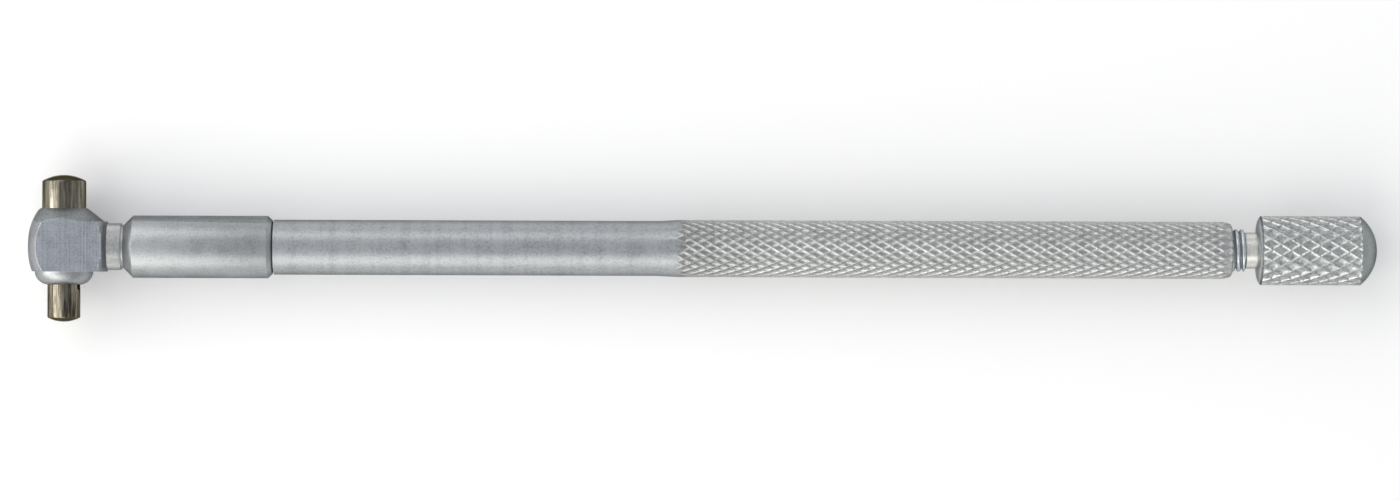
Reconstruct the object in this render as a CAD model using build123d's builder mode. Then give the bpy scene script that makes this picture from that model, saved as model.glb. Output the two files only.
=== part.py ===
from build123d import *
import math
import os

# Telescoping gauge, smallest of a set, in millimetres
# +X runs along the handle to the locking knob, +Y along the large plunger, +Z up off the back flat.
# The origin is on the back flat, below the crossing of the plunger axis and the handle axis.

# Head, a block turned and then milled, in one piece with its neck and sleeve
flat_half_depth = 3.25        # handle axis to each flat
head_half_height = 3.37       # handle axis to each end face, along the plungers
waist_height = 2.2            # half height of the block between its two bosses
front_reach = 3.13            # plunger axis to the front
front_round = 4.6             # turned curve of the front
front_spot_radius = 0.5       # flat middle of the front
shoulder_face_x = 3.53        # where the shoulder reaches the flats
shoulder_slope = 0.27         # length of its inner cone for each unit of radius
shoulder_edge_slope = 0.7     # and of its outer cone
boss_rim_width = 0.1          # flat rim round the large plunger's hole
boss_cone_angle = 52          # upper boss, from the plunger axis
collar_wall = 0.62            # lower collar, outside the large plunger's bore
collar_round = 1.25           # large round at the collar's end
lip_thickness = 0.41          # lip at the bottom, which keeps the large plunger in

# Neck and sleeve
neck_radius = 2.05
neck_reach = 5.05             # plunger axis to the neck's end
relief_radius = 1.9           # undercut between the neck and the sleeve's 45 degree cone
relief_width = 0.2
sleeve_radius = 2.75
sleeve_length = 12.24
sleeve_wall = 0.75
sleeve_chamfer_length = 0.38
sleeve_chamfer_depth = 0.35
socket_depth = 8.0            # how far the handle's spigot goes into the sleeve

# Plungers, both fully out
large_radius = 1.94
small_radius = 1.45
large_apex = 6.3              # handle axis to the top of the large plunger
small_apex = 6.63             # handle axis to the end of the small plunger
large_dome_radius = 3.85      # measuring end of the large plunger
small_dome_radius = 3.0       # and of the small one
end_edge_chamfer = 0.07
large_crown_thickness = 0.72  # closed top of the large plunger, on its axis
inner_end_wall = 0.2          # metal between the rod's tip and each plunger's inner end
large_travel = 2.35
plunger_clearance = 0.02      # running clearance on each radius
keyway_width = 1.2
keyway_depth = 0.27
keyway_corner = 0.3
keyway_in_sight = 0.45        # end of the keyway that shows under the collar
keyway_turn = 8               # degrees that the small plunger stands turned in its play

# Spring between the plungers
spring_bore_wall = 0.23       # between the spring's bore and the keyway
spring_bore_floor = 1.0       # metal left in the small plunger's end, on its axis
spring_clearance = 0.09
spring_wire_radius = 0.1
spring_wire_sides = 4         # the wire is round on the real spring
spring_turns = 8
spring_end_gap = 0.02

# Locking rod
rod_radius = 1.0
rod_clearance = 0.02          # in the head
rod_way_clearance = 0.2       # in the handle
rod_tip_radius = 0.35
rod_tip_chamfer = 0.06
tip_clearance = 0.025         # round the tip, in the slot and at the keyway's end
lock_travel = 0.105           # tip to the keyway's floor, unlocked
rod_step_gap = 0.25           # head bore to the rod's thick part, unlocked

# Handle
handle_radius = 2.42
handle_edge_chamfer = 0.1
handle_plain_length = 33.86
swell_length = 1.9
knurled_length = 48.75
knurl_radius = 2.51           # over the knurl's crests
handle_end_taper = 0.68       # length of the eased end
handle_end_drop = 0.56        # and how far it comes in
spigot_clearance = 0.02
spigot_end_gap = 0.05

# Lock screw, its thread plain at the crests
thread_radius = 1.86
thread_clearance = 0.03
thread_depth = 8.85           # length inside the handle, unlocked
thread_run_in = 0.8           # threaded bore past the screw's inner end
thread_in_sight = 1.2
thread_lead_chamfer = 0.3
shank_radius = 1.58
shank_length = 0.95
knob_radius = 3.04
knob_length = 9.1             # face to the dome's corner
knob_dome_height = 1.5
knob_chamfer_length = 0.37
knob_chamfer_depth = 0.6

# What follows from the sizes above
axis_z = flat_half_depth
handle_axis = Axis((0, 0, axis_z), (1, 0, 0))
plunger_axis = Axis((0, 0, axis_z), (0, 1, 0))
long_section = Plane.XY.offset(axis_z)
head_bore_radius = large_radius + plunger_clearance
tube_bore_radius = small_radius + plunger_clearance
lip_top = lip_thickness - head_half_height
tip_space = rod_tip_radius + tip_clearance
inner_end = tip_space + inner_end_wall
large_ceiling = large_apex - large_crown_thickness
keyway_floor = small_radius - keyway_depth
spring_bore_radius = keyway_floor - spring_bore_wall
sleeve_start_x = neck_reach + relief_width + sleeve_radius - relief_radius
sleeve_end_x = sleeve_start_x + sleeve_length
socket_radius = sleeve_radius - sleeve_wall
socket_floor_x = sleeve_end_x - socket_depth
handle_end_x = sleeve_end_x + handle_plain_length + swell_length + knurled_length
thread_start_x = handle_end_x - thread_depth
knob_face_x = handle_end_x + thread_in_sight + shank_length


def across(y):
    """Plane square to the plungers, centred on their axis."""
    return Plane(origin=(0, y, axis_z), x_dir=(1, 0, 0), z_dir=(0, 1, 0))


def along(x):
    """Plane square to the handle, centred on its axis."""
    return Plane(origin=(x, 0, axis_z), x_dir=(0, 1, 0), z_dir=(1, 0, 0))


def shoulder_x(radius):
    """Place of the head's shoulder at a distance from the handle axis."""
    slope = shoulder_slope if radius < flat_half_depth else shoulder_edge_slope
    return shoulder_face_x - slope * (radius - flat_half_depth)


def dome_edge(apex, dome_radius, radius):
    """Distance along the plungers at which a measuring end's dome meets its side."""
    return apex - dome_radius + math.sqrt(dome_radius**2 - radius**2)


def turned_blank():
    """The head as it leaves the lathe: a rounded front and a shoulder of two cones."""
    rim = front_spot_radius + front_round
    centre_x = front_round - front_reach
    with BuildPart() as blank:
        with BuildSketch(long_section):
            with BuildLine():
                CenterArc((centre_x, front_spot_radius), front_round, 90, 90)
                Polyline(
                    (-front_reach, front_spot_radius),
                    (-front_reach, 0),
                    (shoulder_x(neck_radius), 0),
                    (shoulder_x(neck_radius), neck_radius),
                    (shoulder_face_x, flat_half_depth),
                    (shoulder_x(rim), rim),
                    (centre_x, rim),
                )
            make_face()
        revolve(axis=handle_axis)
    return blank.part


def make_head():
    """Cross head, neck and sleeve, bored for the plungers, the rod and the handle."""
    blank = turned_blank()
    boss_rim = head_bore_radius + boss_rim_width
    boss_rise = head_half_height - waist_height
    boss_foot = boss_rim + boss_rise * math.tan(math.radians(boss_cone_angle))
    collar_radius = head_bore_radius + collar_wall
    collar_end = collar_radius - collar_round
    neck_root_x = shoulder_x(neck_radius)
    with BuildPart() as head:
        # Block between the bosses
        with BuildSketch(Plane.XY):
            with Locations(((neck_root_x - front_reach) / 2, 0)):
                Rectangle(neck_root_x + front_reach, 2 * waist_height)
        extrude(amount=2 * flat_half_depth)
        # Coned boss above and rounded collar below
        with BuildSketch(long_section):
            with BuildLine():
                Polyline(
                    (0, 0),
                    (boss_foot, 0),
                    (boss_foot, waist_height),
                    (boss_rim, head_half_height),
                    (0, head_half_height),
                    close=True,
                )
            make_face()
            with BuildLine():
                Polyline(
                    (collar_end, -head_half_height),
                    (0, -head_half_height),
                    (0, 0),
                    (collar_radius, 0),
                    (collar_radius, collar_round - head_half_height),
                )
                CenterArc((collar_end, collar_round - head_half_height), collar_round, -90, 90)
            make_face()
        revolve(axis=plunger_axis)
        # Flats and turned outline
        with BuildSketch(Plane.XY):
            Rectangle(4 * front_round, 4 * head_half_height)
        extrude(amount=2 * flat_half_depth, mode=Mode.INTERSECT)
        add(blank, mode=Mode.INTERSECT)
        # Neck, undercut and sleeve
        with BuildSketch(long_section):
            with BuildLine():
                Polyline(
                    (neck_root_x - neck_radius, 0),
                    (neck_root_x - neck_radius, neck_radius),
                    (neck_reach, neck_radius),
                    (neck_reach, relief_radius),
                    (neck_reach + relief_width, relief_radius),
                    (sleeve_start_x, sleeve_radius),
                    (sleeve_end_x - sleeve_chamfer_length, sleeve_radius),
                    (sleeve_end_x, sleeve_radius - sleeve_chamfer_depth),
                    (sleeve_end_x, 0),
                    close=True,
                )
            make_face()
        revolve(axis=handle_axis)
        # Bores
        with BuildSketch(across(lip_top)):
            Circle(head_bore_radius)
        extrude(amount=head_half_height - lip_top, mode=Mode.SUBTRACT)
        with BuildSketch(across(-head_half_height)):
            Circle(tube_bore_radius)
        extrude(amount=head_half_height, mode=Mode.SUBTRACT)
        with BuildSketch(along(0)):
            Circle(rod_radius + rod_clearance)
        extrude(amount=sleeve_end_x, mode=Mode.SUBTRACT)
        with BuildSketch(along(socket_floor_x)):
            Circle(socket_radius)
        extrude(amount=socket_depth, mode=Mode.SUBTRACT)
    return head


def make_large_plunger():
    """Domed tube with a slot on the handle's side for the rod's tip."""
    edge = dome_edge(large_apex, large_dome_radius, large_radius)
    with BuildPart() as plunger:
        with BuildSketch(long_section) as profile:
            with BuildLine():
                Polyline(
                    (large_radius, edge),
                    (large_radius, -inner_end),
                    (tube_bore_radius, -inner_end),
                    (tube_bore_radius, large_ceiling),
                    (0, large_ceiling),
                    (0, large_apex),
                )
                RadiusArc((0, large_apex), (large_radius, edge), large_dome_radius)
            make_face()
            chamfer(profile.vertices().group_by(Axis.X)[-1].sort_by(Axis.Y)[-1], end_edge_chamfer)
        revolve(axis=plunger_axis)
        with BuildSketch(along(0)):
            with Locations((large_travel / 2, 0)):
                SlotCenterToCenter(large_travel, 2 * tip_space)
        extrude(amount=2 * large_radius, mode=Mode.SUBTRACT)
    return plunger


def make_small_plunger():
    """Domed plunger bored for the spring, with a keyway for the rod's tip."""
    edge = dome_edge(small_apex, small_dome_radius, small_radius)
    spring_floor = spring_bore_floor - small_apex
    keyway_end = -head_half_height - keyway_in_sight
    turn = math.radians(keyway_turn)
    facing = Vector(math.cos(turn), 0, math.sin(turn))
    keyway_plane = Plane(
        origin=Vector(0, (keyway_end + tip_space) / 2, axis_z) + facing * keyway_floor,
        x_dir=(0, 1, 0),
        z_dir=facing,
    )
    with BuildPart() as plunger:
        with BuildSketch(long_section) as profile:
            with BuildLine():
                Polyline(
                    (small_radius, -edge),
                    (small_radius, inner_end),
                    (spring_bore_radius, inner_end),
                    (spring_bore_radius, spring_floor),
                    (0, spring_floor),
                    (0, -small_apex),
                )
                RadiusArc((small_radius, -edge), (0, -small_apex), small_dome_radius)
            make_face()
            chamfer(profile.vertices().group_by(Axis.X)[-1].sort_by(Axis.Y)[0], end_edge_chamfer)
        revolve(axis=plunger_axis)
        with BuildSketch(keyway_plane):
            RectangleRounded(tip_space - keyway_end, keyway_width, keyway_corner)
        extrude(amount=2 * keyway_depth, mode=Mode.SUBTRACT)
    return plunger


def make_spring():
    """Coil spring from the small plunger's bore to the large plunger's closed top."""
    coil_radius = spring_bore_radius - spring_clearance - spring_wire_radius
    start = spring_bore_floor - small_apex + spring_end_gap + spring_wire_radius
    height = large_ceiling - spring_end_gap - spring_wire_radius - start
    with BuildPart() as spring:
        with BuildLine():
            coil = Helix(
                height / spring_turns, height, coil_radius, center=(0, start, axis_z), direction=(0, 1, 0)
            )
        with BuildSketch(Plane(origin=coil @ 0, z_dir=coil % 0)):
            RegularPolygon(spring_wire_radius, spring_wire_sides)
        sweep(is_frenet=True)
    return spring


def make_rod():
    """Push rod with the slim tip that reaches through the large plunger to the small one."""
    turn = math.radians(keyway_turn)
    contact_x = (keyway_floor + rod_tip_radius * math.sin(turn)) / math.cos(turn)
    step_x = head_bore_radius + rod_step_gap
    with BuildPart() as rod:
        with BuildSketch(along(contact_x + lock_travel)):
            Circle(rod_tip_radius)
        extrude(amount=step_x - contact_x - lock_travel)
        with BuildSketch(along(step_x)):
            Circle(rod_radius)
        extrude(amount=thread_start_x - step_x)
        chamfer(rod.edges().filter_by(GeomType.CIRCLE).sort_by(Axis.X)[0], rod_tip_chamfer)
    return rod


def make_handle():
    """Tube with a spigot at the front and a threaded bore behind."""
    spigot_radius = socket_radius - spigot_clearance
    spigot_x = socket_floor_x + spigot_end_gap
    swell_x = sleeve_end_x + handle_plain_length
    rod_way = rod_radius + rod_way_clearance
    threaded_bore = thread_radius + thread_clearance
    bore_floor_x = thread_start_x - thread_run_in
    with BuildPart() as handle:
        with BuildSketch(long_section):
            with BuildLine():
                Polyline(
                    (spigot_x, rod_way),
                    (spigot_x, spigot_radius),
                    (sleeve_end_x, spigot_radius),
                    (sleeve_end_x, handle_radius - handle_edge_chamfer),
                    (sleeve_end_x + handle_edge_chamfer, handle_radius),
                    (swell_x, handle_radius),
                    (swell_x + swell_length, knurl_radius),
                    (handle_end_x - handle_end_taper, knurl_radius),
                    (handle_end_x - handle_end_taper / 2, knurl_radius - handle_end_drop / 4),
                    (handle_end_x, knurl_radius - handle_end_drop),
                    (handle_end_x, threaded_bore),
                    (bore_floor_x, threaded_bore),
                    (bore_floor_x, rod_way),
                    close=True,
                )
            make_face()
        revolve(axis=handle_axis)
    return handle


def make_lock_screw():
    """Thread, shank and domed knob turned in one piece."""
    thread_end_x = handle_end_x + thread_in_sight
    knob_corner_x = knob_face_x + knob_length
    knob_tip_x = knob_corner_x + knob_dome_height
    dome_radius = (knob_radius**2 + knob_dome_height**2) / (2 * knob_dome_height)
    with BuildPart() as screw:
        with BuildSketch(long_section):
            with BuildLine():
                Polyline(
                    (thread_start_x, 0),
                    (thread_start_x, thread_radius - thread_lead_chamfer),
                    (thread_start_x + thread_lead_chamfer, thread_radius),
                    (thread_end_x, thread_radius),
                    (thread_end_x, shank_radius),
                    (knob_face_x, shank_radius),
                    (knob_face_x, knob_radius - knob_chamfer_depth),
                    (knob_face_x + knob_chamfer_length, knob_radius),
                    (knob_corner_x, knob_radius),
                )
                RadiusArc((knob_corner_x, knob_radius), (knob_tip_x, 0), dome_radius)
                Line((knob_tip_x, 0), (thread_start_x, 0))
            make_face()
        revolve(axis=handle_axis)
    return screw


makers = {
    "head": make_head,
    "large_plunger": make_large_plunger,
    "small_plunger": make_small_plunger,
    "plunger_spring": make_spring,
    "lock_rod": make_rod,
    "handle": make_handle,
    "lock_screw": make_lock_screw,
}

os.makedirs("parts", exist_ok=True)
for name, make in makers.items():
    piece = make()
    piece.part.label = name
    export_step(piece.part, f"parts/{name}.step")
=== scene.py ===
import bpy
import math
from collections import Counter
from contextlib import contextmanager
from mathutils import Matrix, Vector


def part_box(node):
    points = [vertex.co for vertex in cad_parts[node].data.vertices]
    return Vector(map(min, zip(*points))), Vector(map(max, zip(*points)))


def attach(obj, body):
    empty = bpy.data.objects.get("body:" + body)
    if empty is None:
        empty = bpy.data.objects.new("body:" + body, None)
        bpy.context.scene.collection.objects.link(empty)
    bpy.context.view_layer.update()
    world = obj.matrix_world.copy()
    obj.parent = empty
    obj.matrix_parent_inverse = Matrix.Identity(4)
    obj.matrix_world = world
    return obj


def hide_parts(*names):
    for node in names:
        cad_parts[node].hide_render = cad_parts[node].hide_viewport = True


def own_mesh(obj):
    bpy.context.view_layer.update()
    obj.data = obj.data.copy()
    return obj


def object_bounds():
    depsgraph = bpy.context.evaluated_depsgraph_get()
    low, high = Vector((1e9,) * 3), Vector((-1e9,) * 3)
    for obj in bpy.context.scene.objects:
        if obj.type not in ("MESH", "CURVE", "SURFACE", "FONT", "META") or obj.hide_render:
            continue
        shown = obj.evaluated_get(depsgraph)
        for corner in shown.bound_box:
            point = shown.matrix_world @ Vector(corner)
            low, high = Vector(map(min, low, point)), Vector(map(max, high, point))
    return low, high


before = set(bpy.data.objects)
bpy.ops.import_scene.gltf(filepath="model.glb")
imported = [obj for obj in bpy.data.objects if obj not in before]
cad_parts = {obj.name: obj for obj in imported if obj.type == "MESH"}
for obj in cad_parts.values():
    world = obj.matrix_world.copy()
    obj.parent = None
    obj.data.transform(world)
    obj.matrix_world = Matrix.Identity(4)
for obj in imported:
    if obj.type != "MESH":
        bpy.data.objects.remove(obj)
cad_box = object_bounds()

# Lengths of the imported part, in metres; X runs along the handle from the plungers' axis
mm = 0.001
micrometre = 1e-6
axis_z = (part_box("handle")[0][2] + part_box("handle")[1][2]) / 2
flat_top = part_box("head")[1][2]
flat_reach = flat_top - axis_z
spigot_end_x = 10.39 * mm
sleeve_end_x = 18.34 * mm
swell_x = 52.2 * mm
swell_end_x = 54.1 * mm
thread_bore_x = 93.2 * mm
handle_end_x = 102.85 * mm
rod_bore_radius = 1.2 * mm
spigot_rim_radius = 1.25 * mm
spigot_radius = 1.98 * mm
thread_bore_radius = 1.89 * mm
handle_radius = 2.42 * mm
knurl_radius = 2.51 * mm
end_taper = 0.68 * mm
end_drop = 0.56 * mm
thread_start_x = 94.0 * mm
thread_end_x = 104.05 * mm
thread_radius = 1.86 * mm
root_radius = 1.56 * mm
shank_radius = 1.58 * mm
knob_face_x = 105.0 * mm
knob_rim_x = 105.37 * mm
knob_corner_x = 114.1 * mm
knob_tip_x = 115.6 * mm
knob_radius = 3.04 * mm

# Distances under which two points count as one, in metres
same_place = 1e-6
sheet_merge = 1e-7
seam_merge = 2e-6

smooth_angle = 32  # degrees; sharper corners stay sharp


# Meshes

def only(obj):
    """Selects one object alone."""
    bpy.ops.object.select_all(action="DESELECT")
    obj.select_set(True)
    bpy.context.view_layer.objects.active = obj


@contextmanager
def editing(obj):
    """Edit mode on one object, its whole mesh selected."""
    only(obj)
    bpy.ops.object.mode_set(mode="EDIT")
    bpy.ops.mesh.select_all(action="SELECT")
    yield
    bpy.ops.object.mode_set(mode="OBJECT")


def apply_all(obj):
    """Applies an object's modifiers in turn."""
    only(obj)
    for name in [m.name for m in obj.modifiers]:
        bpy.ops.object.modifier_apply(modifier=name)


def apply_transform():
    bpy.ops.object.transform_apply(location=True, rotation=True, scale=True)


def move_mesh(obj, place):
    """Moves an object's mesh by place; its origin stays at the frame's."""
    only(obj)
    obj.location = place
    apply_transform()


def add_circle(name, vertices, **values):
    """Adds a named circle, the only object selected."""
    bpy.ops.object.select_all(action="DESELECT")
    bpy.ops.mesh.primitive_circle_add(vertices=vertices, **values)
    circle = bpy.context.object
    circle.name = name
    circle.data.name = name
    return circle


def repeat(obj, offset, count):
    """Lays copies of an object's mesh out in a row."""
    row = obj.modifiers.new("row", "ARRAY")
    row.use_relative_offset = False
    row.use_constant_offset = True
    row.constant_offset_displace = offset
    row.count = count
    apply_all(obj)


def wind(obj, axis, turns, rise, steps_per_turn):
    """Winds an outline round an axis into a coil."""
    coil = obj.modifiers.new("coil", "SCREW")
    coil.axis = axis
    coil.angle = 2 * math.pi * turns
    coil.screw_offset = rise
    coil.steps = int(steps_per_turn * turns)
    coil.render_steps = int(steps_per_turn * turns)
    apply_all(obj)


def fill_ends(obj):
    """Closes an object's open ends."""
    with editing(obj):
        bpy.ops.mesh.fill_holes(sides=0)


def close_and_smooth(obj, angle=smooth_angle):
    """Points the faces outwards and smooths all but the sharp corners."""
    with editing(obj):
        bpy.ops.mesh.normals_make_consistent(inside=False)
    bpy.ops.object.shade_smooth_by_angle(angle=math.radians(angle))


def finish_faces(obj, finishes, choose):
    """Gives an object its materials, and each face the one that choose returns for it."""
    for finish in finishes:
        obj.data.materials.append(finish)
    for face in obj.data.polygons:
        face.material_index = finishes.index(choose(face))


def select_open_edges(obj, x):
    """Selects, in edit mode, the open edges at one place along X."""
    bpy.ops.mesh.select_mode(type="EDGE")
    bpy.ops.mesh.select_all(action="DESELECT")
    bpy.ops.object.mode_set(mode="OBJECT")
    mesh = obj.data
    faces_on = Counter(key for face in mesh.polygons for key in face.edge_keys)
    for edge in mesh.edges:
        ends = [mesh.vertices[i] for i in edge.vertices]
        if faces_on[edge.key] == 1 and all(abs(end.co.x - x) < same_place for end in ends):
            edge.select = True
            for end in ends:
                end.select = True
    bpy.ops.object.mode_set(mode="EDIT")


# Knurls, made as flat sheets and rolled up

spare_rows = 4  # past the sheet's ends, taken off again by the trim


def clamped(value):
    return min(1.0, max(0.0, value))


def knurl_sheet(name, start, end, radius, pitch, around, insets, run_out):
    """A flat sheet of sunk diamonds, its length along X and its height along Z.

    It is trimmed at start and end, and cut across at the run-outs, where the diamonds get shallow.
    Insets are the width and depth, in mm, of each step down into a diamond.
    """
    step = 2 * math.pi * radius / around
    sheet = add_circle(name, 4, radius=1, fill_type="NGON", rotation=(math.pi / 2, 0, 0))
    sheet.scale = (pitch / 2, step / 2, 1)
    apply_transform()
    with editing(sheet):
        bpy.ops.mesh.select_mode(type="FACE")
        for width, sink in insets:
            bpy.ops.mesh.inset(thickness=width * mm, depth=-sink * mm)
        bpy.ops.mesh.select_all(action="SELECT")
        bpy.ops.mesh.duplicate_move(TRANSFORM_OT_translate={"value": (pitch / 2, 0, step / 2)})
        bpy.ops.mesh.select_all(action="SELECT")
        bpy.ops.transform.translate(value=(start - pitch, 0, 0))
    repeat(sheet, (pitch, 0, 0), int((end - start) / pitch) + spare_rows)
    repeat(sheet, (0, 0, step), around)
    with editing(sheet):
        bpy.ops.mesh.remove_doubles(threshold=sheet_merge)
        for place, outwards in ((start, -1), (end, 1)):
            bpy.ops.mesh.select_all(action="SELECT")
            bpy.ops.mesh.bisect(
                plane_co=(place, 0, 0), plane_no=(outwards, 0, 0), clear_outer=True,
                threshold=sheet_merge,
            )
            bpy.ops.mesh.select_all(action="SELECT")
            bpy.ops.mesh.bisect(
                plane_co=(place - outwards * run_out, 0, 0), plane_no=(1, 0, 0),
                threshold=sheet_merge,
            )
    return sheet


def lay_on_profile(sheet, radius, profile, cut, slant):
    """Sinks the flat sheet to a turned profile, its diamonds slanted and as deep as cut says."""
    for vertex in sheet.data.vertices:
        x = vertex.co.x
        vertex.co.y = vertex.co.y * cut(x) + radius - profile(x)
        vertex.co.z += slant * x


def extend_sheet(sheet, start, points):
    """Draws the sheet's edge at start on along a turned profile; a point is its x and radius."""
    with editing(sheet):
        select_open_edges(sheet, start[0])
        for here, point in zip([start] + points, points):
            move = (point[0] - here[0], here[1] - point[1], 0)
            bpy.ops.mesh.extrude_region_move(TRANSFORM_OT_translate={"value": move})


def roll_up(sheet, radius):
    """Bends the sheet into a tube round the handle's axis and merges its seam."""
    heights = [vertex.co.z for vertex in sheet.data.vertices]
    bend = sheet.modifiers.new("roll", "SIMPLE_DEFORM")
    bend.deform_method = "BEND"
    bend.deform_axis = "X"
    bend.angle = (max(heights) - min(heights)) / radius
    apply_all(sheet)
    move_mesh(sheet, (0, -radius, axis_z))
    with editing(sheet):
        bpy.ops.mesh.remove_doubles(threshold=seam_merge)


# Material nodes

def blank_material(name):
    material = bpy.data.materials.new(name)
    material.use_nodes = True
    tree = material.node_tree
    shader = tree.nodes["Principled BSDF"]
    return material, tree, shader


def node(tree, kind, **values):
    made = tree.nodes.new(kind)
    for key, value in values.items():
        setattr(made, key, value)
    return made


def maths(tree, operation, a, b=None):
    """One operation on sockets or numbers."""
    made = node(tree, "ShaderNodeMath", operation=operation)
    for socket, value in zip(made.inputs, (a, b)):
        if value is None:
            continue
        if isinstance(value, (int, float)):
            socket.default_value = value
        else:
            tree.links.new(value, socket)
    return made.outputs[0]


def added(tree, first, *others):
    for other in others:
        first = maths(tree, "ADD", first, other)
    return first


def spread(tree, value, low, high, to_low, to_high):
    """A value mapped from one range to another, and held within it."""
    made = node(tree, "ShaderNodeMapRange", clamp=True)
    tree.links.new(value, made.inputs["Value"])
    made.inputs["From Min"].default_value = low
    made.inputs["From Max"].default_value = high
    made.inputs["To Min"].default_value = to_low
    made.inputs["To Max"].default_value = to_high
    return made.outputs["Result"]


def swing(tree, value, low, high):
    """Noise, which mostly lies between 0.3 and 0.7, mapped to a range."""
    return spread(tree, value, 0.3, 0.7, low, high)


def blend(tree, share, first, second):
    """A colour between two, each given as three numbers or a socket."""
    made = node(tree, "ShaderNodeMix", data_type="RGBA", blend_type="MIX")
    tree.links.new(share, made.inputs["Factor"])
    for name, colour in (("A", first), ("B", second)):
        if isinstance(colour, tuple):
            made.inputs[name].default_value = (*colour, 1)
        else:
            tree.links.new(colour, made.inputs[name])
    return made.outputs["Result"]


def noise(tree, place, size, detail=3, stretch=(1, 1, 1)):
    """Cloudy noise whose features are about size across, longer where stretch is over 1."""
    fit = node(tree, "ShaderNodeMapping")
    fit.inputs["Scale"].default_value = [1 / (size * s) for s in stretch]
    tree.links.new(place, fit.inputs["Vector"])
    made = node(tree, "ShaderNodeTexNoise")
    made.inputs["Scale"].default_value = 1
    made.inputs["Detail"].default_value = detail
    tree.links.new(fit.outputs[0], made.inputs["Vector"])
    return made.outputs["Fac"]


def turning_lines(tree, run, size, detail=3):
    """Noise that changes along one direction only."""
    made = node(tree, "ShaderNodeTexNoise", noise_dimensions="1D")
    made.inputs["Scale"].default_value = 1 / size
    made.inputs["Detail"].default_value = detail
    tree.links.new(run, made.inputs["W"])
    return made.outputs["Fac"]


def relief(tree, *layers):
    """Bumps laid one over another; a layer is its pattern and its height in micrometres."""
    normal = None
    for pattern, height in layers:
        bump = node(tree, "ShaderNodeBump")
        bump.inputs["Distance"].default_value = height * micrometre
        tree.links.new(pattern, bump.inputs["Height"])
        if normal is not None:
            tree.links.new(normal, bump.inputs["Normal"])
        normal = bump.outputs["Normal"]
    return normal


def from_axis(tree, split):
    """Distance from the handle's axis."""
    flat = node(tree, "ShaderNodeCombineXYZ")
    tree.links.new(split["Y"], flat.inputs["X"])
    tree.links.new(maths(tree, "SUBTRACT", split["Z"], axis_z), flat.inputs["Y"])
    length = node(tree, "ShaderNodeVectorMath", operation="LENGTH")
    tree.links.new(flat.outputs[0], length.inputs[0])
    return length.outputs["Value"]


# Metals

steel_tint = (0.3, 0.3, 0.32)
steel_dark = (0.02, 0.019, 0.017)
hardened_tint = (0.36, 0.36, 0.32)
hardened_dark = (0.012, 0.010, 0.008)
band_size = 0.9 * mm
cloud_size = 1.6 * mm
weave_size = 0.14 * mm
cross_weave_size = 0.09 * mm
stain_size = 0.26 * mm
stain_stretch = (1, 14, 1)
spot_size = 0.45 * mm
polish_size = 0.06 * mm
end_shade_tone = 0.35
end_blend = 0.1 * mm
crest_band = 0.01 * mm
flat_blend = (0.012 * mm, 0.004 * mm)


def metal(name, tint):
    """A metal without colour yet, and its object coordinates, whole and split."""
    material, tree, shader = blank_material(name)
    shader.inputs["Metallic"].default_value = 1.0
    shader.inputs["Specular Tint"].default_value = (*tint, 1)
    place = node(tree, "ShaderNodeTexCoord").outputs["Object"]
    split = node(tree, "ShaderNodeSeparateXYZ")
    tree.links.new(place, split.inputs[0])
    return material, tree, shader, place, split.outputs


def cloudy(tree, cloud, roughness):
    """Roughness that wavers a little with the clouds."""
    return swing(tree, cloud, roughness - 0.03, roughness + 0.04)


def dress(tree, shader, colour, roughness, normal):
    tree.links.new(colour, shader.inputs["Base Color"])
    tree.links.new(roughness, shader.inputs["Roughness"])
    tree.links.new(normal, shader.inputs["Normal"])


def turned_steel(name, colour, roughness, along="X", line=0.09, line_height=2.4,
                 grain_size=0.2, grain_height=5.0, speckle=0.17, pit_shade=None, growth=None):
    """Metal with fine turning lines round one axis, grain and uneven tone.

    Sizes are in mm and heights in micrometres. Pit shade is painted shade in the hollows: the
    crest's radius, the depth under it that is darkest, and how dark. Growth is where along X the
    metal starts to get lighter, where it stops, and how dark it starts.
    """
    material, tree, shader, place, split = metal(name, steel_tint)
    lines = turning_lines(tree, split[along], line * mm)
    bands = turning_lines(tree, split[along], band_size)
    grain = noise(tree, place, grain_size * mm, detail=4)
    cloud = noise(tree, place, cloud_size, detail=4)
    tone = added(tree, swing(tree, cloud, 0.87, 0.97), swing(tree, grain, -speckle, speckle),
                 swing(tree, bands, -0.06, 0.06))
    if growth:
        start, stop, least = growth
        tone = maths(tree, "MULTIPLY", tone, spread(tree, split["X"], start, stop, least, 1.0))
    # Painted shade: the metal darkens the deeper it lies under the crest, in knurl pits and thread
    # grooves.
    if pit_shade:
        crest, depth, least = pit_shade
        height = spread(tree, from_axis(tree, split), crest - depth, crest - crest_band, least, 1.0)
        tone = maths(tree, "MULTIPLY", tone, height)
    dress(tree, shader, blend(tree, tone, steel_dark, colour),
          cloudy(tree, cloud, roughness),
          relief(tree, (lines, line_height), (bands, 3 * line_height), (grain, grain_height)))
    return material


def head_steel(name, colour, flat_colour, roughness):
    """The head's turned and tumbled metal; its milled flats are bluer, with a fine woven grain."""
    material, tree, shader, place, split = metal(name, steel_tint)
    height = maths(tree, "ABSOLUTE", maths(tree, "SUBTRACT", split["Z"], axis_z))
    low, high = (flat_reach - below for below in flat_blend)
    on_flat = spread(tree, height, low, high, 0.0, 1.0)
    lines = turning_lines(tree, split["X"], weave_size, detail=4)
    across = turning_lines(tree, split["Y"], cross_weave_size)
    grain = noise(tree, place, weave_size)
    cloud = noise(tree, place, cloud_size, detail=4)
    weave = added(tree, swing(tree, lines, -0.15, 0.15), swing(tree, across, -0.07, 0.07))
    tone = added(tree, swing(tree, cloud, 0.82, 1.0), swing(tree, grain, -0.17, 0.17),
                 maths(tree, "MULTIPLY", weave, on_flat))
    dress(tree, shader,
          blend(tree, tone, steel_dark, blend(tree, on_flat, colour, flat_colour)),
          cloudy(tree, cloud, roughness), relief(tree, (lines, 2.4), (grain, 5.0)))
    return material


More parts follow.
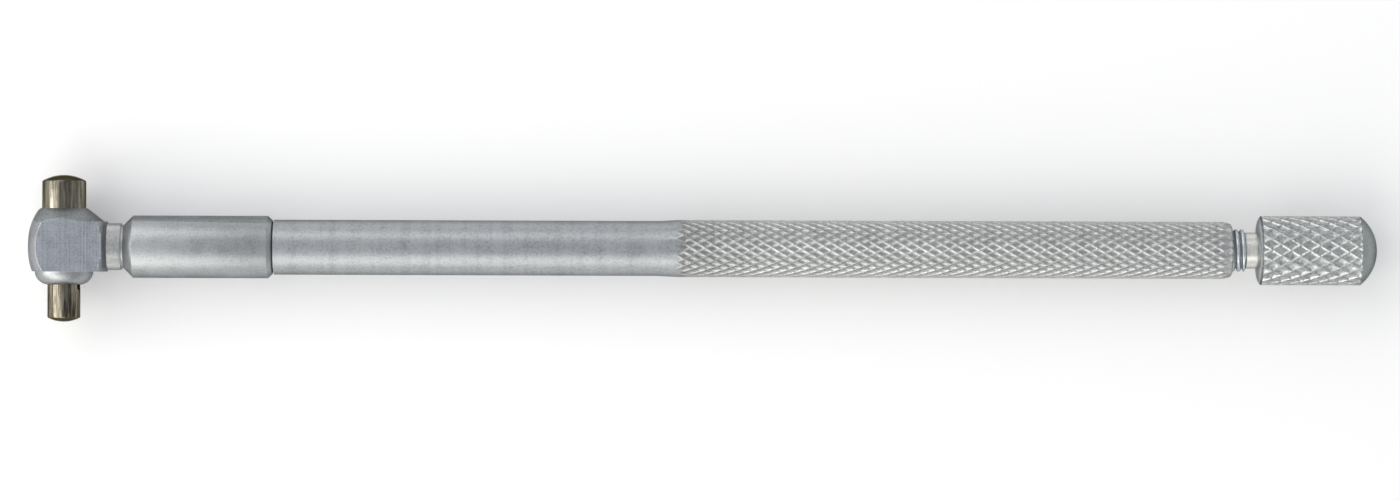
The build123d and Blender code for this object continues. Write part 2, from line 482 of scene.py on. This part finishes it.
def hardened_steel(name, colour, roughness, side_end, stained):
    """Dark polished metal, stained lengthwise; beyond side_end, on the measuring end, darker as
    painted shade.
    """
    material, tree, shader, place, split = metal(name, hardened_tint)
    reach = maths(tree, "ABSOLUTE", split["Y"])
    stain = noise(tree, place, stain_size, stretch=stain_stretch)
    spots = noise(tree, place, spot_size, detail=5)
    lines = turning_lines(tree, split["Y"], polish_size)
    # The measuring ends are darker: painted shade for the dark they reflect.
    on_side = spread(tree, reach, side_end, side_end + end_blend, 1.0, 0.0)
    side_tone = spread(tree, stain, 0.38, 0.62, stained - end_shade_tone, 1 - end_shade_tone)
    tone = added(tree, maths(tree, "MULTIPLY", side_tone, on_side), end_shade_tone,
                 spread(tree, spots, 0.4, 0.62, 0.03, -0.05))
    dress(tree, shader, blend(tree, tone, hardened_dark, colour),
          spread(tree, spots, 0.35, 0.65, roughness - 0.03, roughness + 0.06),
          relief(tree, (lines, 0.3), (spots, 1.2)))
    return material


satin = turned_steel("satin turned steel", (0.425, 0.444, 0.458), 0.41)
head_satin = head_steel(
    "satin head steel", (0.41, 0.425, 0.435), (0.395, 0.42, 0.465), 0.41)
knurl_steel = turned_steel(
    "knurled handle steel", (0.58, 0.59, 0.58), 0.34,
    pit_shade=(knurl_radius, 0.12 * mm, 0.74), growth=(54.0 * mm, 63.0 * mm, 0.76))
# Lighter than the knurled steel and without its pit shade: painted light on the handle's rounded
# end.
knurl_end_lit_steel = turned_steel("knurled handle end steel with painted light", (0.60, 0.61, 0.60), 0.34)
knob_steel = turned_steel(
    "knurled knob steel", (0.56, 0.58, 0.57), 0.36, speckle=0.32, grain_size=0.24,
    grain_height=14.0, pit_shade=(knob_radius, 0.16 * mm, 0.84))
dome_steel = turned_steel("turned knob end steel", (0.36, 0.39, 0.385), 0.40)
# The knob's face is lighter than the knob: painted light where shade and dark reflections fall.
face_lit_steel = turned_steel("knob face steel with painted light", (0.66, 0.67, 0.66), 0.3)
# The shank is polished, and lighter still: painted light where the handle end and knob shade it.
shank_lit_steel = turned_steel("polished shank steel with painted light", (0.78, 0.77, 0.735), 0.3)
# The knob's rim is darker: painted shade in place of the highlight it catches.
rim_shade_steel = turned_steel("knob rim steel with painted shade", (0.2, 0.215, 0.225), 0.42)
# The joint at the sleeve's end is nearly black: painted shade in the groove, with some grime.
joint_shade_steel = turned_steel("shaded joint steel", (0.1, 0.105, 0.115), 0.5)
thread_steel = turned_steel(
    "cut thread steel", (0.60, 0.64, 0.66), 0.38, pit_shade=(thread_radius, 0.28 * mm, 0.9))
# The coned boss is darker than the head: painted shade for the dark surroundings it reflects.
boss_shade_steel = turned_steel("coned boss steel with painted shade", (0.30, 0.32, 0.325), 0.41, along="Y")
# The neck is lighter than the head: painted light where head and sleeve shade it.
neck_lit_steel = turned_steel("neck steel with painted light", (0.58, 0.59, 0.575), 0.33)
# The flats' eased edges are lighter and smoother: a painted highlight line along them.
edge_highlight_steel = turned_steel("edge steel with painted highlight", (0.68, 0.69, 0.68), 0.24)
large_steel = hardened_steel(
    "large plunger steel", (0.255, 0.235, 0.188), 0.13, 5.72 * mm, 0.36)
small_steel = hardened_steel(
    "small plunger steel", (0.33, 0.296, 0.228), 0.14, 6.18 * mm, 0.16)
rod_steel = turned_steel(
    "ground rod steel", (0.5, 0.51, 0.52), 0.22, line=0.04, line_height=0.5, grain_height=0.4)
spring_steel = turned_steel(
    "bright spring wire", (0.46, 0.45, 0.42), 0.22, along="Y", line=0.05, line_height=0.5,
    grain_height=0.4)


# Handle, knurled behind and plain in front

handle_pitch = 1.3 * mm
handle_around = 22
handle_slant = -0.05
handle_insets = ((0.012, 0.003), (0.04, 0.029), (0.095, 0.072), (0.1, 0.03))
handle_fade_in = 0.9 * mm
handle_run_out = 0.15 * mm
knurl_start = 53.95 * mm
taper_x = handle_end_x - end_taper
end_curve = 0.998  # under 1, so that the rounded end stops just before it turns square
plain_middle_x = 36 * mm
joint_shade_reach = 0.14 * mm
groove_depth = 0.2 * mm
satin_end_x = knurl_start + 0.2 * mm
rounded_x = taper_x + 0.15 * mm


def handle_profile(x):
    if x < swell_x:
        return handle_radius
    if x < swell_end_x:
        swell = knurl_radius - handle_radius
        return handle_radius + swell * (x - swell_x) / (swell_end_x - swell_x)
    if x <= taper_x:
        return knurl_radius
    along = min(1.0, (x - taper_x) / end_taper)
    return knurl_radius - end_drop * (1 - math.sqrt(1 - along**2 * end_curve))


def handle_cut(x):
    fade_in = clamped((x - knurl_start) / handle_fade_in)
    fade_out = clamped((handle_end_x - x) / handle_run_out)
    return fade_in * fade_out


def handle_finish(face):
    x = face.center.x
    # Painted shade in the joint's groove, with some grime.
    if abs(x - sleeve_end_x) < joint_shade_reach:
        return joint_shade_steel
    if x < satin_end_x:
        return satin
    # Painted light on the rounded end.
    if x > rounded_x:
        return knurl_end_lit_steel
    return knurl_steel


handle = knurl_sheet("knurled_handle", knurl_start, handle_end_x, knurl_radius, handle_pitch,
                     handle_around, handle_insets, handle_run_out)
lay_on_profile(handle, knurl_radius, handle_profile, handle_cut, handle_slant)
extend_sheet(handle, (knurl_start, handle_profile(knurl_start)), [
    (swell_x, handle_radius),
    (swell_x - 0.4 * mm, handle_radius),
    (plain_middle_x, handle_radius),
    (sleeve_end_x + 0.3 * mm, handle_radius),
    (sleeve_end_x + 0.15 * mm, handle_radius),
    (sleeve_end_x + 0.12 * mm, handle_radius - 0.9 * groove_depth),
    (sleeve_end_x, handle_radius - groove_depth),
    (sleeve_end_x, spigot_radius),
    (spigot_end_x, spigot_radius),
    (spigot_end_x, spigot_rim_radius),
])
extend_sheet(handle, (handle_end_x, handle_profile(handle_end_x)), [
    (handle_end_x, thread_bore_radius),
    (thread_bore_x, thread_bore_radius),
    (thread_bore_x, rod_bore_radius),
    (spigot_end_x, rod_bore_radius),
])
roll_up(handle, knurl_radius)
with editing(handle):
    select_open_edges(handle, spigot_end_x)
    bpy.ops.mesh.bridge_edge_loops()
close_and_smooth(handle)
finish_faces(handle, (knurl_steel, satin, knurl_end_lit_steel, joint_shade_steel), handle_finish)
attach(handle, "gauge_body")
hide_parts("handle")


# Lock screw: knurled knob, shank and the thread's core

knob_pitch = 1.69 * mm
knob_around = 19
knob_slant = -0.03
knob_insets = ((0.018, 0.005), (0.05, 0.042), (0.115, 0.078), (0.13, 0.020))
knob_run_out = 0.06 * mm
knob_fade_out = 0.6 * mm
knob_corner_cut = 0.7  # share of the diamonds' depth that is left at the knob's corner
rim_curve = ((105.32, 3.01), (105.25, 2.93), (105.16, 2.78), (105.08, 2.60), (105.03, 2.40))
knob_face_radius = 2.15 * mm
rim_shade_x = knob_rim_x - 0.1 * mm
core_end_x = 100 * mm
plain_end_x = 99.7 * mm
dome_height = knob_tip_x - knob_corner_x
dome_radius = (knob_radius**2 + dome_height**2) / (2 * dome_height)
dome_steps = 12


def knob_cut(x):
    fade_in = clamped((x - knob_rim_x) / knob_run_out)
    short = knob_corner_x - x
    shallow = knob_corner_cut + (1 - knob_corner_cut) * short / knob_fade_out
    return fade_in * min(shallow, clamped(short / knob_run_out))


def dome_points():
    """Points of the knob's domed end, from its corner to its tip."""
    whole = math.asin(knob_radius / dome_radius)
    points = []
    for i in range(1, dome_steps + 1):
        lean = whole * (1 - i / dome_steps)
        drop = dome_radius * (1 - math.cos(lean))
        points.append((knob_tip_x - drop, dome_radius * math.sin(lean)))
    return points


def screw_finish(face):
    x = face.center.x
    if knob_rim_x + knob_run_out < x < knob_corner_x - knob_run_out:
        return knob_steel
    # The dome, and the run-out wall just before it, which takes the darker dome finish as painted
    # shade in place of its highlight.
    if x > knob_corner_x - knob_run_out:
        return dome_steel
    # Painted shade on the knob's rim.
    if x > rim_shade_x:
        return rim_shade_steel
    # Painted light on the knob's face.
    if x > knob_face_x - sheet_merge:
        return face_lit_steel
    # Polished shank, with painted light.
    if x > thread_end_x:
        return shank_lit_steel
    return thread_steel


screw = knurl_sheet("knurled_lock_screw", knob_rim_x, knob_corner_x, knob_radius, knob_pitch,
                    knob_around, knob_insets, knob_run_out)
lay_on_profile(screw, knob_radius, lambda x: knob_radius, knob_cut, knob_slant)
extend_sheet(screw, (knob_rim_x, knob_radius), [(x * mm, r * mm) for x, r in rim_curve] + [
    (knob_face_x, knob_face_radius),
    (knob_face_x, shank_radius),
    (thread_end_x + 0.02 * mm, shank_radius),
    (thread_end_x, root_radius),
    (core_end_x, root_radius),
    (plain_end_x, thread_radius),
    (thread_start_x + 0.3 * mm, thread_radius),
    (thread_start_x, root_radius),
    (thread_start_x, 0),
])
extend_sheet(screw, (knob_corner_x, knob_radius), dome_points())
roll_up(screw, knob_radius)
close_and_smooth(screw)
finish_faces(screw, (knob_steel, dome_steel, shank_lit_steel, thread_steel, face_lit_steel, rim_shade_steel),
             screw_finish)


# The thread's ridge, cut lower where the thread runs out

thread_pitch = 0.5 * mm
ridge_turns = 7.5
ridge_start_x = 100.285 * mm
ridge_stop_x = 103.9 * mm
ridge_slope = 2
ridge_steps = 48
ridge_section = (
    (0.25, 1.5), (0.2, 1.7), (0.11, 1.835), (0.03, thread_radius / mm),
    (-0.03, thread_radius / mm), (-0.11, 1.835), (-0.2, 1.7), (-0.25, 1.5),
)

ridge = add_circle("lock_screw_thread", len(ridge_section), fill_type="NOTHING")
for vertex, (x, r) in zip(ridge.data.vertices, ridge_section):
    vertex.co = (x * mm, 0, r * mm)
wind(ridge, "X", ridge_turns, thread_pitch * ridge_turns, ridge_steps)
for vertex in ridge.data.vertices:
    x = vertex.co.x + ridge_start_x
    reach = math.hypot(vertex.co.y, vertex.co.z)
    allowed = thread_radius - max(0.0, x - ridge_stop_x) * ridge_slope
    if reach > allowed:
        vertex.co.y *= allowed / reach
        vertex.co.z *= allowed / reach
move_mesh(ridge, (ridge_start_x, 0, axis_z))
fill_ends(ridge)
close_and_smooth(ridge)
ridge.data.materials.append(thread_steel)
for piece in (screw, ridge):
    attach(piece, "lock_screw")
    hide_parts("lock_screw")


# Head and plungers, their turned shapes as packed; the head's edges are eased

head_edge = 0.09 * mm
boss_y = 2.15 * mm
neck_x = (3.9 * mm, 5.1 * mm)
neck_reach = 2.3 * mm
cross_end_x = 4 * mm
edge_depth = 0.06 * mm

# How far normals lie along an axis: on a flat along Z, and on the coned boss along Y
flat_normal = 0.9999
nearly_flat_normal = 0.995
cone_normal = (0.4, 0.95)


def merged_copy(node_name, name, edge, body):
    """A merged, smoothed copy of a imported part, with bevels of one width on its sharp edges."""
    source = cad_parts[node_name]
    piece = bpy.data.objects.new(name, source.data.copy())
    bpy.context.scene.collection.objects.link(piece)
    with editing(piece):
        bpy.ops.mesh.remove_doubles(threshold=same_place)
        bpy.ops.mesh.customdata_custom_splitnormals_clear()
    if edge:
        ease = piece.modifiers.new("eased edges", "BEVEL")
        ease.width = edge
        ease.segments = 2
        ease.limit_method = "ANGLE"
        ease.angle_limit = math.radians(smooth_angle)
        ease.use_clamp_overlap = True
        apply_all(piece)
    bpy.ops.object.shade_smooth_by_angle(angle=math.radians(smooth_angle))
    for face in piece.data.polygons:
        height = abs(face.center.z - axis_z)
        if abs(face.normal.z) > flat_normal and abs(height - flat_reach) < same_place:
            face.use_smooth = False
    piece.data.materials.clear()
    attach(piece, body)
    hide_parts(node_name)
    return piece


def head_finish(face):
    x, y, z = face.center
    below_flat = flat_reach - abs(z - axis_z)
    tilted = abs(face.normal.z) < nearly_flat_normal
    # Painted highlight on the flats' eased edges.
    if x < cross_end_x and below_flat < edge_depth and tilted:
        return edge_highlight_steel
    # Painted light on the neck.
    if neck_x[0] < x < neck_x[1] and math.hypot(y, z - axis_z) < neck_reach:
        return neck_lit_steel
    # Painted shade on the coned boss.
    if y > boss_y and cone_normal[0] < face.normal.y < cone_normal[1]:
        return boss_shade_steel
    return head_satin


head = merged_copy("head", "cross_head", head_edge, "gauge_body")
finish_faces(head, (head_satin, neck_lit_steel, boss_shade_steel, edge_highlight_steel), head_finish)
large = merged_copy("large_plunger", "large_plunger_end", 0.0, "large_plunger")
small = merged_copy("small_plunger", "small_plunger_end", 0.0, "small_plunger")
for piece, finish in ((large, large_steel), (small, small_steel)):
    piece.data.materials.append(finish)

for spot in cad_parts["lock_rod"].material_slots:
    spot.material = rod_steel


# Spring in two halves, each riding with one plunger; they overlap as a plunger comes in

spring_low_y = -5.606 * mm
spring_high_y = 5.556 * mm
half_length = (spring_high_y - spring_low_y) / 2
coil_radius = 0.76 * mm
coil_steps = 40
wire_radius = 0.098 * mm
wire_sides = 10
wire_smooth_angle = 40
half_turns = 4
half_rise = half_length - wire_radius


def half_spring(name, start, body):
    """Half of the coil spring, of round wire; seat is the end that keeps its place."""
    spring = add_circle(name, wire_sides, radius=wire_radius, fill_type="NOTHING",
                        location=(coil_radius, 0, 0))
    apply_transform()
    wind(spring, "Y", half_turns, half_rise, coil_steps)
    move_mesh(spring, (0, start, axis_z))
    fill_ends(spring)
    close_and_smooth(spring, wire_smooth_angle)
    spring.data.materials.append(spring_steel)
    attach(spring, body)
    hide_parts("plunger_spring")
    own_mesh(spring)


half_spring("spring_in_small_plunger", spring_low_y + wire_radius, "small_plunger")
half_spring("spring_in_large_plunger", spring_low_y + wire_radius + half_rise, "large_plunger")


# Floor, lamps, world and camera; places and sizes in metres

gauge_middle = (0.056, 0, 0.003)
handle_front = (0.05, 0, 0.003)
head_middle = (0, 0, 0.003)
floor_size = 3
floor_drop = 0.02 * mm
floor_glow = 0.12
warm_white = (1.0, 0.985, 0.955)
warmer_white = (1.0, 0.98, 0.90)
lamp_left = 0.5
lamp_distance = 0.9
camera_height = 0.6
camera_roll = 0.2  # degrees

bpy.ops.object.select_all(action="DESELECT")
bpy.ops.mesh.primitive_plane_add(
    size=floor_size, location=(gauge_middle[0], 0, cad_box[0][2] - floor_drop))
floor = bpy.context.object
floor.name = "pale_floor"
apply_transform()
white, tree, shader = blank_material("pale floor")
shader.inputs["Base Color"].default_value = (0.78, 0.78, 0.78, 1)
shader.inputs["Roughness"].default_value = 1.0
shader.inputs["Specular IOR Level"].default_value = 0.0
rays = node(tree, "ShaderNodeLightPath")
shown = maths(tree, "MAXIMUM", rays.outputs["Is Camera Ray"], rays.outputs["Is Glossy Ray"])
shown = maths(tree, "MAXIMUM", shown, rays.outputs["Is Transmission Ray"])
shader.inputs["Emission Color"].default_value = (1, 1, 1, 1)
tree.links.new(maths(tree, "MULTIPLY", shown, floor_glow), shader.inputs["Emission Strength"])
floor.data.materials.append(white)


def leaning(angle):
    """A lamp's place up and to the left of the gauge, leaning to +Y by an angle in degrees."""
    lean = math.radians(angle)
    x, y, z = gauge_middle
    return (x - lamp_left, y + lamp_distance * math.sin(lean), z + lamp_distance * math.cos(lean))


def softbox(name, place, aim, size, radiance, colour=warm_white):
    """A rectangular lamp; size is its width along the handle and its height."""
    lamp = bpy.data.lights.new(name, "AREA")
    lamp.shape = "RECTANGLE"
    lamp.size, lamp.size_y = size
    lamp.energy = radiance * math.pi * size[0] * size[1]
    lamp.color = colour
    obj = bpy.data.objects.new(name, lamp)
    bpy.context.scene.collection.objects.link(obj)
    obj.location = place
    obj.rotation_euler = (Vector(aim) - Vector(place)).to_track_quat("-Z", "Y").to_euler()


softbox("upper softbox", leaning(41), gauge_middle, (1.4, 0.42), 1.2)
softbox("lower softbox", leaning(-52), gauge_middle, (1.5, 0.9), 1.5, warmer_white)
softbox("side softbox", (-0.70, 0, 0.30), head_middle, (0.7, 0.18), 5.0)
softbox("left upper softbox", (-0.60, 0.62, 0.33), handle_front, (1.2, 0.6), 1.2)
softbox("left lower softbox", (-0.60, -0.62, 0.33), handle_front, (1.0, 0.5), 1.0)
softbox("overhead softbox", (-0.44, 0, 0.67), head_middle, (0.8, 0.3), 0.7)

world = bpy.data.worlds.new("studio")
bpy.context.scene.world = world
world.use_nodes = True
sky = world.node_tree.nodes["Background"]
sky.inputs["Color"].default_value = (0.965, 0.985, 1.03, 1)
sky.inputs["Strength"].default_value = 0.60

eye = bpy.data.cameras.new("camera")
eye.sensor_fit = "HORIZONTAL"
eye.sensor_width = 36
eye.lens = 175.2
eye.clip_start = 0.01
eye.clip_end = 20
camera = bpy.data.objects.new("camera", eye)
bpy.context.scene.collection.objects.link(camera)
camera.location = (gauge_middle[0], -0.00012, axis_z + camera_height)
camera.rotation_euler = (0, 0, math.radians(camera_roll))
bpy.context.scene.camera = camera

bpy.context.scene.view_settings.view_transform = "Standard"
